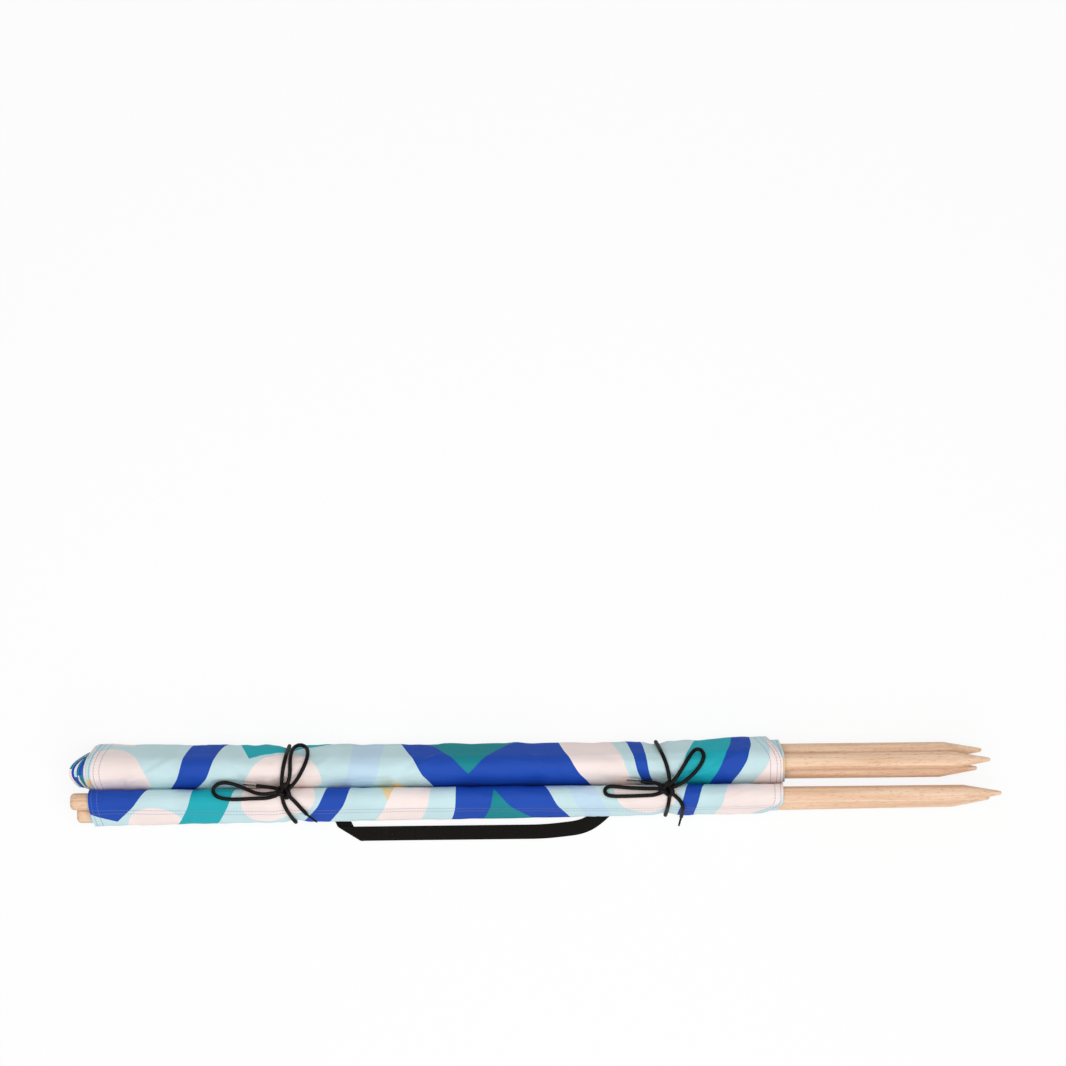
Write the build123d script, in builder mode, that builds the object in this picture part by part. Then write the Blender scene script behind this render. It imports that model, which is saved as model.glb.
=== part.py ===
from build123d import *
from math import asin, atan2, cos, hypot, pi, radians, sin, sqrt, tan
import os

# Beach windbreak rolled up for carrying: a printed cloth wound on five pointed wooden poles in two
# rolls side by side, held by two tied cords, with a webbing carry strap beside the lower roll.
# X runs along the poles towards their points, Y runs from the lower roll to the upper roll, Z is up
# from the ground. Lengths are millimetres. Along X the model is laid out from the butt of the
# longest pole, and across Y from the valley between the rolls.

# Driving dimensions of the poles
pole_diameter = 22.2
pole_point = 50.0
pole_tip_radius = 2.7
pole_butt_round = 6.0

# Places of the poles' butts and tips along X, from the longest pole's butt
far_butt_x = 38.0
far_tip_x = 1196.0
ridge_butt_x = 14.0
ridge_tip_x = 1206.0
near_butt_x = 22.0
near_tip_x = 1190.0
high_butt_x = 0.0
high_tip_x = 1220.0
low_butt_x = 7.5
low_tip_x = 1206.0

# Places of the poles across Y, from the valley between the rolls
upper_far_y = 41.4
high_butt_y = -12.8
high_tip_y = -14.2
low_butt_y = -30.5
low_tip_y = -21.4
crossing_pole_play = 0.8

# Driving dimensions of the cloth
cloth_height = 906.0
pocket_wall = 0.6
pocket_play = 0.1
ply_gap = 0.2
upper_core_ply = 1.5
upper_middle_ply = 1.4
upper_outer_ply = 2.8
lower_ply = 2.9
lean_play = 0.5
crossing_ply = 2.2
ply_step = 3.0
hem_width = 12.5
hem_proud = 0.5
crossing_tuck = 2.0
nose_bow = 0.045
nose_middle_y = 26.0
nose_reach_y = 34.0

# Driving dimensions of the ties
cord_diameter = 5.2
cord_seat = 0.3
wrap_proud = 0.8
left_tie_share = 0.28
right_tie_share = 0.8325
left_knot_y = -0.5
right_knot_y = -3.0
knot_width = 13.0
knot_rise = 2.2
aglet_length = 19.0
aglet_wall = 0.3
sealed_tip_length = 16.0
sealed_tip_diameter = 3.2

# Driving dimensions of the carry strap
strap_width = 19.0
strap_thickness = 1.8
strap_end_depth = 8.0
strap_fold_length = 50.0
strap_fold_rise = 6.4
strap_fold_nip = 3.0
strap_fold_outer_x = (-14.5, -7.8, 26.1, 34.5)
strap_fold_inner_x = (16.0, 8.5, 1.8)
strap_lane = 60.3
strap_tuck = 31.0
strap_leg_share = 0.356
strap_end_share = 0.773

# Places along X of the cloth's left edges, and of the frame's middle, from the longest pole's butt
core_edge_x = 0.0
middle_edge_x = 10.0
outer_edge_x = 27.8
lower_edge_x = 24.0
middle_x = 610.0
valley_y = 5.5

left_tie_x = outer_edge_x + left_tie_share * cloth_height
right_tie_x = outer_edge_x + right_tie_share * cloth_height

pole_radius = pole_diameter / 2
cord_radius = cord_diameter / 2
pocket_inner = pole_radius + pocket_play
pocket_outer = pocket_inner + pocket_wall
pole_pitch = 2 * pocket_outer + pocket_play

# Radii of the plies about each pole of the upper roll, from the inside out
core_inner = pocket_outer + ply_gap
core_outer = core_inner + upper_core_ply
middle_inner = core_outer + ply_gap
middle_outer = middle_inner + upper_middle_ply
outer_inner = middle_outer + ply_gap
outer_outer = outer_inner + upper_outer_ply

# Radii of the plies about each pole of the lower roll
lower_inner = pocket_outer + lean_play
lower_outer = lower_inner + lower_ply

# Heights of the pole centres: the upper roll lies on the ground, the lower roll on the crossing ply
upper_base_z = outer_outer
upper_top_z = upper_base_z + pole_pitch * sqrt(3) / 2
lower_base_z = crossing_ply + ply_gap + lower_outer


class Pole:
    """One pole: its butt and tip along X, and its centre across Y and up Z at both ends."""

    def __init__(self, butt_x, tip_x, butt_yz, tip_yz):
        self.butt = Vector(butt_x - middle_x, valley_y + butt_yz[0], butt_yz[1])
        self.tip = Vector(tip_x - middle_x, valley_y + tip_yz[0], tip_yz[1])
        self.length = (self.tip - self.butt).length
        self.direction = (self.tip - self.butt).normalized()

    def centre(self, x):
        """The pole's centre across Y and Z at the place x."""
        share = (x - self.butt.X) / (self.tip.X - self.butt.X)
        point = self.butt + (self.tip - self.butt) * share
        return (point.Y, point.Z)


# The three poles of the upper roll: two on the ground side with their cloth between, one on top
upper_near_y = upper_far_y - pole_pitch
upper_mid_y = (upper_far_y + upper_near_y) / 2
far_seat = (upper_far_y, upper_base_z)
near_seat = (upper_near_y, upper_base_z)
ridge_seat = (upper_mid_y, upper_top_z)

# The two poles of the lower roll cross slightly: the top one leans on the bottom one all along
crossing_pitch = pole_pitch + crossing_pole_play
high_butt_z = lower_base_z + sqrt(crossing_pitch**2 - (high_butt_y - low_butt_y) ** 2)
high_tip_z = lower_base_z + sqrt(crossing_pitch**2 - (high_tip_y - low_tip_y) ** 2)

poles = {
    "pole_1": Pole(far_butt_x, far_tip_x, far_seat, far_seat),
    "pole_2": Pole(ridge_butt_x, ridge_tip_x, ridge_seat, ridge_seat),
    "pole_3": Pole(near_butt_x, near_tip_x, near_seat, near_seat),
    "pole_4": Pole(high_butt_x, high_tip_x, (high_butt_y, high_butt_z), (high_tip_y, high_tip_z)),
    "pole_5": Pole(low_butt_x, low_tip_x, (low_butt_y, lower_base_z), (low_tip_y, lower_base_z)),
}
upper_poles = [poles["pole_1"], poles["pole_2"], poles["pole_3"]]
lower_poles = [poles["pole_4"], poles["pole_5"]]


def pole_profile(length):
    """Half of a pole's outline: a rounded butt, a straight shaft and a pencil point with a ball tip."""
    shoulder = length - pole_point
    ball = length - pole_tip_radius
    reach = hypot(ball - shoulder, pole_radius)
    slope = atan2(-pole_radius, ball - shoulder) + asin(pole_tip_radius / reach)
    run = sqrt(reach**2 - pole_tip_radius**2)
    touch = (shoulder + run * cos(slope), pole_radius + run * sin(slope))
    Line((0, 0), (0, pole_radius - pole_butt_round))
    CenterArc((pole_butt_round, pole_radius - pole_butt_round), pole_butt_round, 90, 90)
    Line((pole_butt_round, pole_radius), (shoulder, pole_radius))
    flank = Line((shoulder, pole_radius), touch)
    TangentArc(touch, (length, 0), tangent=flank % 1)
    Line((length, 0), (0, 0))


def make_pole(pole):
    """A pole turned about its own axis."""
    with BuildPart() as turned:
        side = pole.direction.cross(Vector(0, 0, 1))
        with BuildSketch(Plane(pole.butt, x_dir=pole.direction, z_dir=side)):
            with BuildLine():
                pole_profile(pole.length)
            make_face()
        revolve(axis=Axis(pole.butt, pole.direction))
    return turned.part


def make_pocket(pole, left_x, right_x):
    """The sewn pocket of cloth round a pole, from one edge of the cloth to the other."""
    foot = pole.butt + pole.direction * ((left_x - middle_x - pole.butt.X) / pole.direction.X)
    with BuildPart() as pocket:
        with BuildSketch(Plane(foot, z_dir=pole.direction)):
            Circle(pocket_outer)
            Circle(pocket_inner, mode=Mode.SUBTRACT)
        extrude(amount=(right_x - left_x) / pole.direction.X)
    return pocket.part


def hull_of(centres, radii):
    """The outline of a band drawn tight round circles, in the YZ plane."""
    with BuildSketch(mode=Mode.PRIVATE) as band:
        for centre, radius in zip(centres, radii):
            with Locations(centre):
                Circle(radius)
        make_hull(band.edges(), mode=Mode.REPLACE)
    return band.sketch


def roll_section(group, radius, x):
    """The outline of a roll's ply at the place x, at one radius about each of its poles."""
    return hull_of([pole.centre(x) for pole in group], [radius] * len(group))


def add_straight_ring(group, inner, outer, left_x, right_x):
    """One closed ply round poles that lie parallel to X."""
    left = left_x - middle_x
    with BuildSketch(Plane.YZ.offset(left)) as ring:
        add(roll_section(group, outer, left))
        add(roll_section(group, inner, left), mode=Mode.SUBTRACT)
    extrude(ring.sketch, amount=right_x - left_x)


def add_leaning_core(group, radius, left_x, right_x, mode):
    """A roll's body between its outlines at two places, for poles that cross slightly."""
    outlines = []
    for x in (left_x - middle_x, right_x - middle_x):
        outlines.append(Plane.YZ.offset(x) * roll_section(group, radius, x))
    loft([outline.face() for outline in outlines], ruled=True, mode=mode)


def tie_outline(tie_x, depth):
    """The run of a tie round both rolls, moved inwards by a depth."""
    x = tie_x - middle_x
    proud = wrap_proud - depth
    buried = cord_radius + 0.1
    centres = [pole.centre(x) for pole in upper_poles + lower_poles]
    radii = [
        upper_base_z - buried - depth,
        outer_outer + proud,
        upper_base_z - buried - depth,
        lower_outer + proud,
        lower_base_z - buried - depth,
    ]
    return hull_of(centres, radii)


def cut_tie_seats():
    """The two grooves that the ties press into the cloth."""
    for tie_x in (left_tie_x, right_tie_x):
        with BuildSketch(Plane.YZ.offset(tie_x - middle_x - cord_radius - cord_seat)) as seat:
            with Locations((valley_y, upper_top_z)):
                Rectangle(cloth_height, cloth_height)
            add(tie_outline(tie_x, cord_radius + cord_seat), mode=Mode.SUBTRACT)
        extrude(seat.sketch, amount=cord_diameter + 2 * cord_seat, mode=Mode.SUBTRACT)


def cut_nose(left_x):
    """Cuts a ply's left edge back from the top of the roll, by the square of the way across it."""
    nose = []
    for share in (-1, -1 / 2, -1 / 4, 1 / 4, 1 / 2, 1):
        across = nose_reach_y * share
        x = left_x - middle_x + nose_bow * across**2
        nose.append((x, valley_y + nose_middle_y + across))
    left = left_x - middle_x - hem_width
    with BuildSketch() as waste:
        Polygon((left, nose[0][1]), *nose, (left, nose[-1][1]), align=None)
    extrude(waste.sketch, amount=2 * upper_top_z, mode=Mode.SUBTRACT)


# Poles and their pockets
poles_made = {name: make_pole(pole) for name, pole in poles.items()}
core_right_x = core_edge_x + ply_step + cloth_height
lower_pocket_x = lower_edge_x - ply_step
pocket_edges = {
    "pole_1": (far_butt_x - ply_step, core_right_x),
    "pole_2": (ridge_butt_x - ply_step, core_right_x),
    "pole_3": (near_butt_x - ply_step, core_right_x),
    "pole_4": (lower_pocket_x, lower_pocket_x + cloth_height),
    "pole_5": (lower_pocket_x, lower_pocket_x + cloth_height),
}
pockets_made = {name: make_pocket(poles[name], *edges) for name, edges in pocket_edges.items()}

# Upper roll, inner bay: two plies, the innermost reaches furthest left
with BuildPart() as bay_1:
    core_middle = (core_inner + core_outer) / 2
    for ply, inner, outer in ((0, core_inner, core_middle), (1, core_middle, core_outer)):
        left_x = core_edge_x + ply * ply_step
        add_straight_ring(upper_poles, inner, outer, left_x, left_x + cloth_height)
    cut_nose(core_edge_x)
    cut_tie_seats()

# Upper roll, second bay: two more plies, stepped back again
with BuildPart() as bay_2:
    middle_middle = (middle_inner + middle_outer) / 2
    for ply, inner, outer in ((0, middle_inner, middle_middle), (1, middle_middle, middle_outer)):
        left_x = middle_edge_x + ply * ply_step
        right_x = outer_edge_x + cloth_height + ply_step * (1 - ply)
        add_straight_ring(upper_poles, inner, outer, left_x, right_x)
    cut_nose(middle_edge_x)
    cut_tie_seats()

# Upper roll, outer bay: it leaves the roll underneath and crosses the ground to the lower roll
outer_left_x = outer_edge_x + hem_width
outer_right_x = outer_edge_x + cloth_height - hem_width
with BuildPart() as bay_3:
    add_straight_ring(upper_poles, outer_inner, outer_outer, outer_left_x, outer_right_x)
    crossing_near_y = valley_y + upper_near_y
    crossing_far_y = valley_y + low_butt_y + crossing_tuck
    with BuildSketch(Plane.YZ.offset(outer_left_x - middle_x)):
        with Locations(((crossing_near_y + crossing_far_y) / 2, crossing_ply / 2)):
            Rectangle(crossing_near_y - crossing_far_y, crossing_ply)
    extrude(amount=outer_right_x - outer_left_x)
    cut_tie_seats()

# Lower roll: the last bay, wound on the two crossing poles
lower_left_x = lower_edge_x + hem_width
lower_right_x = lower_edge_x + cloth_height - hem_width
with BuildPart() as bay_4:
    add_leaning_core(lower_poles, lower_outer, lower_left_x, lower_right_x, Mode.ADD)
    add_leaning_core(lower_poles, lower_inner, lower_left_x, lower_right_x, Mode.SUBTRACT)
    cut_tie_seats()

# Hems of the outer plies, a little proud of the cloth but not below it
upper_hems = {
    "hem_upper_left": (outer_edge_x, outer_left_x),
    "hem_upper_right": (outer_right_x, outer_edge_x + cloth_height),
}
lower_hems = {
    "hem_lower_left": (lower_edge_x, lower_left_x),
    "hem_lower_right": (lower_right_x, lower_edge_x + cloth_height),
}
hems_made = {}
for name, (left_x, right_x) in upper_hems.items():
    with BuildPart() as hem:
        add_straight_ring(upper_poles, outer_inner, outer_outer + hem_proud, left_x, right_x)
        split(bisect_by=Plane.XY, keep=Keep.TOP)
    hems_made[name] = hem.part
for name, (left_x, right_x) in lower_hems.items():
    with BuildPart() as hem:
        add_leaning_core(lower_poles, lower_outer + hem_proud, left_x, right_x, Mode.ADD)
        add_leaning_core(lower_poles, lower_inner, left_x, right_x, Mode.SUBTRACT)
        split(bisect_by=Plane.XY.offset(crossing_ply + ply_gap), keep=Keep.TOP)
    hems_made[name] = hem.part


def knot_place(tie_x, knot_y):
    """Where a knot sits: on the tie's straight run over the valley."""
    x = tie_x - middle_x
    ridge_y, ridge_z = poles["pole_2"].centre(x)
    low_y, low_z = poles["pole_4"].centre(x)
    ridge_top = ridge_z + outer_outer + wrap_proud
    low_top = low_z + lower_outer + wrap_proud
    share = (valley_y + knot_y - low_y) / (ridge_y - low_y)
    return Vector(x, valley_y + knot_y, low_top + (ridge_top - low_top) * share + knot_rise)


def make_knot(place):
    """A bow's knot, drawn tight: a round lump a little flatter than it is wide."""
    with BuildPart() as knot:
        with Locations(place):
            Sphere(knot_width / 2)
    return knot.part


def make_wrap(tie_x, knot_centre):
    """The tight cord round both rolls, from one side of the knot to the other."""
    outline = Plane.YZ.offset(tie_x - middle_x) * tie_outline(tie_x, 0)
    over = outline.edges().filter_by(GeomType.LINE).sort_by(Axis.Z).last
    share = (knot_centre.Y - (over @ 0).Y) / ((over @ 1).Y - (over @ 0).Y)
    inside = cord_radius / over.length
    with BuildPart() as wrap:
        with BuildLine() as run:
            add(outline.edges() - ShapeList([over]))
            Line(over @ 0, over @ (share - inside))
            Line(over @ (share + inside), over @ 1)
        path = run.wire()
        with BuildSketch(Plane(path @ 0, z_dir=path % 0)):
            Circle(cord_radius)
        sweep(path=path)
        with Locations(knot_centre):
            Sphere(knot_width / 2, mode=Mode.SUBTRACT)
    return wrap.part


left_knot_place = knot_place(left_tie_x, left_knot_y)
right_knot_place = knot_place(right_tie_x, right_knot_y)
left_knot = make_knot(left_knot_place)
right_knot = make_knot(right_knot_place)
left_wrap = make_wrap(left_tie_x, left_knot_place)
right_wrap = make_wrap(right_tie_x, right_knot_place)


def corner_radii(places):
    """The radius of each corner of a limp cord's route: as large as its two runs allow."""
    radii = []
    for before, corner, after in zip(places, places[1:], places[2:]):
        turn = (corner - before).get_angle(after - corner)
        run = min((corner - before).length, (after - corner).length)
        radii.append(0.45 * run / tan(radians(turn / 2)))
    return radii


def place_route(points, tie_x):
    """A route's points in the frame's own axes."""
    return [Vector(tie_x - middle_x + x, valley_y + y, z) for x, y, z in points]


def lay_cord(name, places, knot_centre):
    """A limp cord's tube along its route, trimmed where it leaves the knot."""
    radii = corner_radii(places)
    with BuildPart() as cord:
        with BuildLine():
            run = FilletPolyline(*places, radius=radii)
        with BuildSketch(Plane(run @ 0, z_dir=run % 0)):
            Circle(cord_radius)
        sweep()
        whole = cord.part.volume
        with Locations(knot_centre):
            Sphere(knot_width / 2, mode=Mode.SUBTRACT)
    share = whole / (pi * cord_radius**2 * run.length)
    print(name, "length", round(run.length, 1), "volume share", round(share, 4), end=" ")
    print("radii", [round(radius, 1) for radius in radii])
    return cord.part


def end_piece(places, length, diameter):
    """A round sleeve or tip in line with a cord's last run, from the cord's end."""
    before, end = places[-2:]
    with BuildPart() as piece:
        with BuildSketch(Plane(end, z_dir=end - before)):
            Circle(diameter / 2)
        extrude(amount=length)
        fillet(piece.edges().filter_by(GeomType.CIRCLE), 0.4)
    return piece.part


# Free cords of the bows: points are X from the tie, Y from the valley between the rolls, and height
left_bow = {
    "left_tie_upper_loop": [
        (0.3, 2.2, 59.3),
        (6.0, 11.0, 60.5),
        (8.0, 24.0, 61.0),
        (8.0, 37.5, 60.5),
        (9.0, 48.5, 51.5),
        (12.5, 56.0, 40.5),
        (21.0, 59.3, 35.5),
        (29.5, 55.5, 41.0),
        (31.5, 48.0, 52.0),
        (29.0, 37.0, 60.5),
        (21.5, 21.5, 60.0),
        (13.0, 8.5, 57.0),
        (4.2, 0.4, 55.5),
    ],
    "left_tie_side_loop": [
        (-3.4, -2.7, 53.3),
        (-15.5, -10.0, 54.8),
        (-41.5, -10.2, 54.4),
        (-70.5, -11.5, 54.1),
        (-87.5, -8.5, 53.6),
        (-94.5, -0.5, 50.5),
        (-90.5, 8.0, 49.8),
        (-79.5, 11.5, 51.0),
        (-64.5, 8.5, 51.5),
        (-50.0, 2.2, 52.5),
        (-34.5, -4.5, 57.5),
        (-16.5, -4.0, 59.5),
        (-1.5, -0.4, 58.6),
    ],
    "left_tie_tail_a": [
        (-3.7, 1.2, 54.4),
        (-12.0, 3.2, 51.0),
        (-24.5, 4.8, 48.6),
        (-37.5, 6.0, 47.4),
    ],
    "left_tie_tail_b": [
        (3.0, -3.5, 55.9),
        (8.0, -9.0, 56.0),
        (14.5, -16.0, 54.6),
        (21.5, -24.0, 51.4),
        (28.5, -32.5, 42.0),
    ],
}
right_bow = {
    "right_tie_upper_loop": [
        (0.3, -0.3, 61.0),
        (9.0, 7.5, 60.5),
        (17.0, 19.0, 60.5),
        (24.5, 31.0, 61.0),
        (31.0, 41.5, 57.5),
        (37.0, 48.0, 52.0),
        (45.0, 47.5, 52.5),
        (49.0, 40.0, 58.5),
        (45.5, 29.5, 61.0),
        (36.5, 17.5, 59.0),
        (25.0, 7.5, 56.5),
        (14.0, 0.5, 56.0),
        (4.2, -2.1, 57.2),
    ],
    "right_tie_side_loop": [
        (-2.6, -5.6, 55.6),
        (-12.0, -11.0, 57.6),
        (-30.0, -12.0, 57.0),
        (-54.0, -12.5, 56.8),
        (-72.0, -12.5, 56.6),
        (-80.7, -10.0, 56.2),
        (-82.0, -3.0, 54.0),
        (-75.5, 1.0, 52.4),
        (-61.0, -0.6, 52.4),
        (-38.0, -2.5, 53.6),
        (-16.0, -3.0, 58.6),
        (-1.5, -2.4, 60.8),
    ],
    "right_tie_tail_a": [
        (-3.5, -1.0, 55.6),
        (-11.5, 3.4, 51.6),
        (-20.5, 5.0, 48.9),
        (-34.5, 6.2, 47.2),
    ],
    "right_tie_tail_b": [
        (3.0, -6.0, 57.6),
        (10.0, -12.5, 58.4),
        (17.0, -19.0, 56.9),
        (20.5, -27.5, 51.8),
        (20.0, -35.0, 39.8),
        (18.5, -42.0, 26.5),
    ],
}
routes = {name: place_route(points, left_tie_x) for name, points in left_bow.items()}
routes |= {name: place_route(points, right_tie_x) for name, points in right_bow.items()}
cords_made = {}
for name, places in routes.items():
    knot_centre = left_knot_place if name in left_bow else right_knot_place
    cords_made[name] = lay_cord(name, places, knot_centre)

# Clear sleeves on the first tails and sealed thin tips on the others
aglet_diameter = cord_diameter + 2 * aglet_wall
ends_made = {
    "left_tie_aglet": end_piece(routes["left_tie_tail_a"], aglet_length, aglet_diameter),
    "left_tie_tip": end_piece(routes["left_tie_tail_b"], sealed_tip_length, sealed_tip_diameter),
    "right_tie_aglet": end_piece(routes["right_tie_tail_a"], aglet_length, aglet_diameter),
    "right_tie_tip": end_piece(routes["right_tie_tail_b"], sealed_tip_length, sealed_tip_diameter),
}

# Carry strap: it slants out from under the lower roll, folds over and lies along the roll, and its
# other end slants back under the roll. The fold's corners lie off the leg's middle
strap_lane_y = valley_y - strap_lane
strap_leg_x = outer_edge_x + strap_leg_share * cloth_height - middle_x
strap_end_x = outer_edge_x + strap_end_share * cloth_height - middle_x
strap_tuck_y = valley_y - strap_tuck
# The slant back: how far before the strap's end and off its lane each corner lies, and its radius
strap_slant = ((132.0, 0.0, 150.0), (80.0, 4.0, 80.0), (48.0, 12.0, 45.0))
strap_slant_rise = 43.0
strap_fold_x = strap_leg_x + strap_fold_length
strap_far_y = strap_lane_y - strap_width / 2
strap_near_y = strap_lane_y + strap_width / 2
strap_rise_y = strap_near_y + strap_fold_rise
strap_outer_y = (strap_tuck_y, strap_rise_y, strap_far_y + strap_fold_nip, strap_far_y)
strap_inner_y = (strap_near_y, strap_rise_y, strap_tuck_y)
with BuildSketch() as strap_plan:
    Polygon(
        *zip([strap_leg_x + x for x in strap_fold_outer_x], strap_outer_y),
        (strap_fold_x, strap_far_y),
        (strap_fold_x, strap_near_y),
        *zip([strap_leg_x + x for x in strap_fold_inner_x], strap_inner_y),
        align=None,
    )
    with BuildLine():
        FilletPolyline(
            (strap_fold_x, strap_lane_y),
            *[(strap_end_x - before, strap_lane_y + rise) for before, rise, _ in strap_slant],
            (strap_end_x, strap_lane_y + strap_slant_rise),
            radius=[radius for *_, radius in strap_slant],
        )
    trace(line_width=strap_width)
    with Locations((0, strap_tuck_y)):
        Rectangle(cloth_height, strap_width * 4, align=(Align.CENTER, Align.MIN), mode=Mode.SUBTRACT)

with BuildPart() as carry_strap:
    add(strap_plan.sketch)
    extrude(amount=strap_thickness)

# Sewn strap ends: folded webbing that fills the space from the strap up to the roll above it
with BuildPart() as strap_end_pair:
    with BuildSketch(Plane.XY.offset(strap_thickness)):
        add(strap_plan.sketch)
        with Locations((0, strap_tuck_y)):
            Rectangle(
                cloth_height, strap_end_depth, align=(Align.CENTER, Align.MAX), mode=Mode.INTERSECT
            )
    extrude(amount=lower_base_z)
    add_leaning_core(
        lower_poles, lower_outer + ply_gap, lower_left_x, lower_right_x, Mode.SUBTRACT
    )
strap_end_solids = strap_end_pair.solids().filter_by(lambda end: end.center().Z < lower_base_z / 2)
strap_end_left, strap_end_right = strap_end_solids.sort_by(Axis.X)

pieces = {
    **poles_made,
    **{name.replace("pole", "pole_sleeve"): part for name, part in pockets_made.items()},
    "bay_1": bay_1.part,
    "bay_2": bay_2.part,
    "bay_3": bay_3.part,
    "bay_4": bay_4.part,
    **hems_made,
    "left_tie_wrap": left_wrap,
    "left_tie_knot": left_knot,
    "right_tie_wrap": right_wrap,
    "right_tie_knot": right_knot,
    **cords_made,
    **ends_made,
    "carry_strap": carry_strap.part,
    "strap_end_left": strap_end_left,
    "strap_end_right": strap_end_right,
}

os.makedirs("parts", exist_ok=True)
for name, piece in pieces.items():
    piece.label = name
    export_step(piece, "parts/" + name + ".step")
    box = piece.bounding_box()
    print(name, [round(v, 1) for v in (*box.min, *box.max)], round(piece.volume))
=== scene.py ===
# Beach windbreak rolled up for carrying: printed cloth wound on five pointed beech poles in two rolls
# side by side, two black braided cords tied in bows, and a black webbing carry strap on the ground.
# Shapes are worked out in millimetres in the frame's own axes and are put into meshes in metres.
import math
import bpy
import numpy as np
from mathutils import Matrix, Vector


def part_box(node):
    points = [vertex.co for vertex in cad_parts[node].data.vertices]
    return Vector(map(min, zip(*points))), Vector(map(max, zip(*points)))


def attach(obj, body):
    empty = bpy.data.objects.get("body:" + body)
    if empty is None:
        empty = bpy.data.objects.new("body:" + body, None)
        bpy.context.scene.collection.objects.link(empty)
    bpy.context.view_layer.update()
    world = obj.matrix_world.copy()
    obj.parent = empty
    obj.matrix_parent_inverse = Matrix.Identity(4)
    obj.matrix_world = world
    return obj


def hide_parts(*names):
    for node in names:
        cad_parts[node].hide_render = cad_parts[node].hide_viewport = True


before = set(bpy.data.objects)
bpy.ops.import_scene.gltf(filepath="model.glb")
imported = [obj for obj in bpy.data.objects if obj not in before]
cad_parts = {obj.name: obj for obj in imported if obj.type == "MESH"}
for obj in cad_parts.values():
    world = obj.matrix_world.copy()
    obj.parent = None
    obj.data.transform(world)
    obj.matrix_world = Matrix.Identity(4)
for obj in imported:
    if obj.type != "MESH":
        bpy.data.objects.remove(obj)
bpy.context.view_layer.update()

scene = bpy.context.scene
MM = 0.001
CLOTH_HEIGHT = 906.0
# Where the valley between the rolls lies across, and how far the middle is from the longest pole's butt
VALLEY = 5.5
MIDDLE = 610.0

# The camera looks straight down through a long lens, and is turned a little so that the points of the poles
# rise to the right
camera_data = bpy.data.cameras.new("Overhead")
camera_data.lens = 200
camera_data.sensor_width = 36
camera_data.clip_end = 30
camera = bpy.data.objects.new("Overhead", camera_data)
camera.location = (0.0003, 0.3383, 7.796)
camera.rotation_euler = (0, 0, math.radians(-0.64))
scene.collection.objects.link(camera)
scene.camera = camera

# Routes of the bows' free cords: their control points in metres, the same as in the part's source
BOWS = {
    "left_tie_upper_loop": [
        (-0.3282, 0.0077, 0.0593), (-0.3225, 0.0165, 0.0605), (-0.3205, 0.0295, 0.0610),
        (-0.3205, 0.0430, 0.0605), (-0.3195, 0.0540, 0.0515), (-0.3160, 0.0615, 0.0405),
        (-0.3075, 0.0648, 0.0355), (-0.2990, 0.0610, 0.0410), (-0.2970, 0.0535, 0.0520),
        (-0.2995, 0.0425, 0.0605), (-0.3070, 0.0270, 0.0600), (-0.3155, 0.0140, 0.0570),
        (-0.3243, 0.0059, 0.0555),
    ],
    "left_tie_side_loop": [
        (-0.3319, 0.0028, 0.0533), (-0.3440, -0.0045, 0.0548), (-0.3700, -0.0047, 0.0544),
        (-0.3990, -0.0060, 0.0541), (-0.4160, -0.0030, 0.0536), (-0.4230, 0.0050, 0.0505),
        (-0.4190, 0.0135, 0.0498), (-0.4080, 0.0170, 0.0510), (-0.3930, 0.0140, 0.0515),
        (-0.3785, 0.0077, 0.0525), (-0.3630, 0.0010, 0.0575), (-0.3450, 0.0015, 0.0595),
        (-0.3300, 0.0051, 0.0586),
    ],
    "left_tie_tail_a": [
        (-0.3322, 0.0067, 0.0544), (-0.3405, 0.0087, 0.0510), (-0.3530, 0.0103, 0.0486),
        (-0.3660, 0.0115, 0.0474),
    ],
    "left_tie_tail_b": [
        (-0.3255, 0.0020, 0.0559), (-0.3205, -0.0035, 0.0560), (-0.3140, -0.0105, 0.0546),
        (-0.3070, -0.0185, 0.0514), (-0.3000, -0.0270, 0.0420),
    ],
    "right_tie_upper_loop": [
        (0.1723, 0.0052, 0.0610), (0.1810, 0.0130, 0.0605), (0.1890, 0.0245, 0.0605),
        (0.1965, 0.0365, 0.0610), (0.2030, 0.0470, 0.0575), (0.2090, 0.0535, 0.0520),
        (0.2170, 0.0530, 0.0525), (0.2210, 0.0455, 0.0585), (0.2175, 0.0350, 0.0610),
        (0.2085, 0.0230, 0.0590), (0.1970, 0.0130, 0.0565), (0.1860, 0.0060, 0.0560),
        (0.1762, 0.0034, 0.0572),
    ],
    "right_tie_side_loop": [
        (0.1694, -0.0001, 0.0556), (0.1600, -0.0055, 0.0576), (0.1420, -0.0065, 0.0570),
        (0.1180, -0.0070, 0.0568), (0.1000, -0.0070, 0.0566), (0.0913, -0.0045, 0.0562),
        (0.0900, 0.0025, 0.0540), (0.0965, 0.0065, 0.0524), (0.1110, 0.0049, 0.0524),
        (0.1340, 0.0030, 0.0536), (0.1560, 0.0025, 0.0586), (0.1705, 0.0031, 0.0608),
    ],
    "right_tie_tail_a": [
        (0.1685, 0.0045, 0.0556), (0.1605, 0.0089, 0.0516), (0.1515, 0.0105, 0.0489),
        (0.1375, 0.0117, 0.0472),
    ],
    "right_tie_tail_b": [
        (0.1750, -0.0005, 0.0576), (0.1820, -0.0070, 0.0584), (0.1890, -0.0135, 0.0569),
        (0.1925, -0.0220, 0.0518), (0.1920, -0.0295, 0.0398), (0.1905, -0.0365, 0.0265),
    ],
}


# Meshes

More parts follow.
